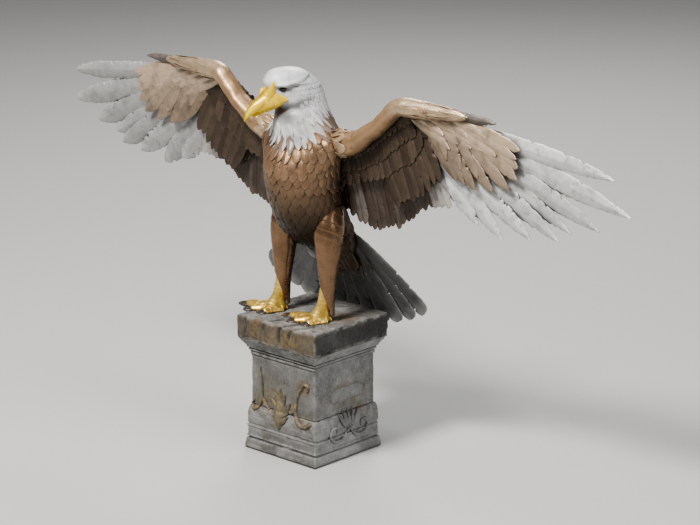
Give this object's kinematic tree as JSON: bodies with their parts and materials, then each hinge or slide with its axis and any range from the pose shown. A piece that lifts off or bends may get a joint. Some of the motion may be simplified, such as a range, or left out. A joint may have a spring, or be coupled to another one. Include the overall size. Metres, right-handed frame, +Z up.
{
  "type": "eagle statuette",
  "caption": "Eagle statuette: cold-painted bronze bird with raised, spread wings and fanned tail, perched on a square moulded stone pedestal with a worn gilt relief.",
  "frame": {"origin": "centre of the square underside of the pedestal, on the surface it stands on", "axes": "+Z up; -Y towards the front, the way the bird's body and the gilt relief face; +X towards the bird's left wing, along the wingspan"},
  "size_m": [0.555, 0.1009, 0.2938],
  "materials": {
    "stone_cap": "weathered dark stone",
    "stone_shaft": "weathered pale stone",
    "worn_gilt": "worn gilding",
    "felt": "matt",
    "steel": "plain zinc",
    "body_bronze": "satin cold-painted bronze",
    "arm_bronze": "polished cold-painted bronze",
    "covert_brown": "satin cold-painted bronze",
    "secondary_brown": "satin cold-painted bronze",
    "flight_grey": "satin cold-painted bronze",
    "tail_grey": "satin cold-painted bronze",
    "white_paint": "satin cold-painted bronze",
    "beak_gold": "gloss",
    "foot_gold": "polished",
    "talon_grey": "satin",
    "eye_paint": "gloss"
  },
  "bodies": {
    "root": {"cap_slab": "stone_cap", "neck_moulding": "stone_shaft", "shaft_block": "stone_shaft", "base_plinth": "stone_shaft", "felt_pad": "felt", "tie_rod": "steel", "tie_rod_nut": "steel", "tie_rod_washer": "steel", "front_palmette": "worn_gilt", "front_scrolls": "worn_gilt", "left_side_relief": "stone_shaft", "right_side_relief": "stone_shaft", "torso": "body_bronze", "head": "white_paint", "upper_beak": "beak_gold", "lower_beak": "beak_gold", "eyes": "eye_paint", "tail_rump": "body_bronze", "tail_feathers": "tail_grey", "tail_screw": "steel", "left_thigh": "body_bronze", "right_thigh": "body_bronze", "left_foot": "foot_gold", "right_foot": "foot_gold", "left_talons": "talon_grey", "right_talons": "talon_grey", "left_leg_stud": "steel", "right_leg_stud": "steel", "leg_stud_nuts": "steel", "leg_stud_washers": "steel", "wing_dowels": "steel", "left_wing_arm": "arm_bronze", "left_alula": "covert_brown", "left_secondaries": "secondary_brown", "left_under_coverts": "covert_brown", "left_upper_coverts": "covert_brown", "left_primary_1": "flight_grey", "left_primary_2": "flight_grey", "left_primary_3": "flight_grey", "left_primary_4": "flight_grey", "left_primary_5": "flight_grey", "left_primary_6": "flight_grey", "left_primary_7": "flight_grey", "left_primary_8": "flight_grey", "right_wing_arm": "arm_bronze", "right_alula": "covert_brown", "right_secondaries": "secondary_brown", "right_under_coverts": "covert_brown", "right_upper_coverts": "covert_brown", "right_primary_1": "flight_grey", "right_primary_2": "flight_grey", "right_primary_3": "flight_grey", "right_primary_4": "flight_grey", "right_primary_5": "flight_grey", "right_primary_6": "flight_grey", "right_primary_7": "flight_grey", "right_primary_8": "flight_grey"}
  },
  "joints": []
}
